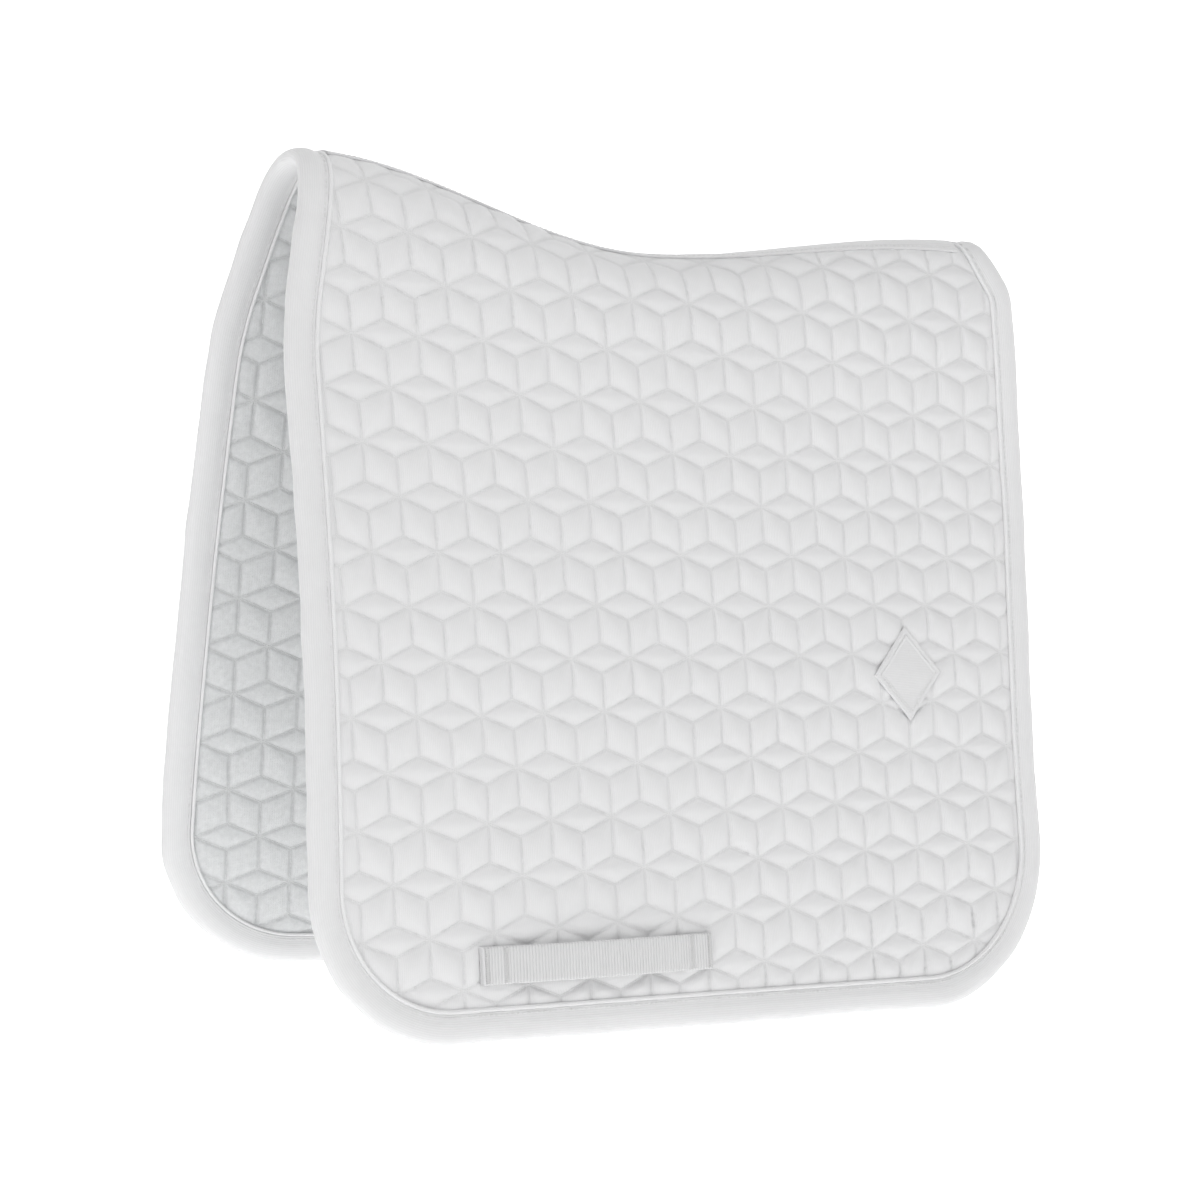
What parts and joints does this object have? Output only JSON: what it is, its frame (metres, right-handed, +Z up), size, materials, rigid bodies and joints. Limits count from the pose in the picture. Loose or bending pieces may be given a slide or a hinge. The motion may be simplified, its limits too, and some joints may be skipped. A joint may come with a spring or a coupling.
{
  "type": "saddle pad",
  "caption": "Quilted padded saddle pad with bound edges, spine tape, girth keeper loops and a blank diamond patch; both sides lift about folds below the spine.",
  "frame": {"origin": "under the spine at its lowest dip, where the pad rests on the horse's back", "axes": "+X towards the horse's head, +Y to the horse's left, +Z up"},
  "size_m": [0.6423, 0.3182, 0.6226],
  "materials": {
    "quilted_cotton": "matte ribbed cotton, quilted",
    "foam_wadding": "open-cell padding, hidden",
    "brushed_lining": "matte brushed cotton",
    "binding_tape": "matte fine lengthwise rib",
    "piping_cord": "soft satin cord",
    "spine_webbing": "matte flat tape",
    "keeper_webbing": "matte cross-ribbed webbing",
    "patch_cloth": "matte twill, blank",
    "sewing_thread": "polyester thread"
  },
  "bodies": {
    "spine": {"front_arch_binding": "binding_tape", "front_arch_inner_piping": "piping_cord", "front_arch_outer_piping": "piping_cord", "left_crest_lining": "brushed_lining", "left_crest_outer": "quilted_cotton", "left_crest_wadding": "foam_wadding", "rear_arch_binding": "binding_tape", "rear_arch_inner_piping": "piping_cord", "rear_arch_outer_piping": "piping_cord", "right_crest_lining": "brushed_lining", "right_crest_outer": "quilted_cotton", "right_crest_wadding": "foam_wadding", "spine_seam_tape": "spine_webbing", "spine_tape": "spine_webbing"},
    "left_flap": {"diamond_patch": "patch_cloth", "diamond_patch_stitching": "sewing_thread", "left_flap_binding": "binding_tape", "left_flap_inner_piping": "piping_cord", "left_flap_lining": "brushed_lining", "left_flap_outer": "quilted_cotton", "left_flap_outer_piping": "piping_cord", "left_flap_wadding": "foam_wadding", "left_girth_keeper": "keeper_webbing", "left_keeper_bar_tacks": "sewing_thread"},
    "right_flap": {"right_flap_binding": "binding_tape", "right_flap_inner_piping": "piping_cord", "right_flap_lining": "brushed_lining", "right_flap_outer": "quilted_cotton", "right_flap_outer_piping": "piping_cord", "right_flap_wadding": "foam_wadding", "right_girth_keeper": "keeper_webbing", "right_keeper_bar_tacks": "sewing_thread"}
  },
  "joints": [
    {"name": "left_fold", "type": "hinge", "parent": "spine", "child": "left_flap", "pos_m": [0, 0.04855, -0.05], "axis": [0.9973, 0.0731, 0], "range_deg": [-8, 80], "stiffness_Nm_per_rad": 1.5, "springref_deg": 6.3},
    {"name": "right_fold", "type": "hinge", "parent": "spine", "child": "right_flap", "pos_m": [0, -0.04855, -0.05], "axis": [-0.9973, 0.0731, 0], "range_deg": [-8, 80], "stiffness_Nm_per_rad": 1.5, "springref_deg": 6.3}
  ]
}
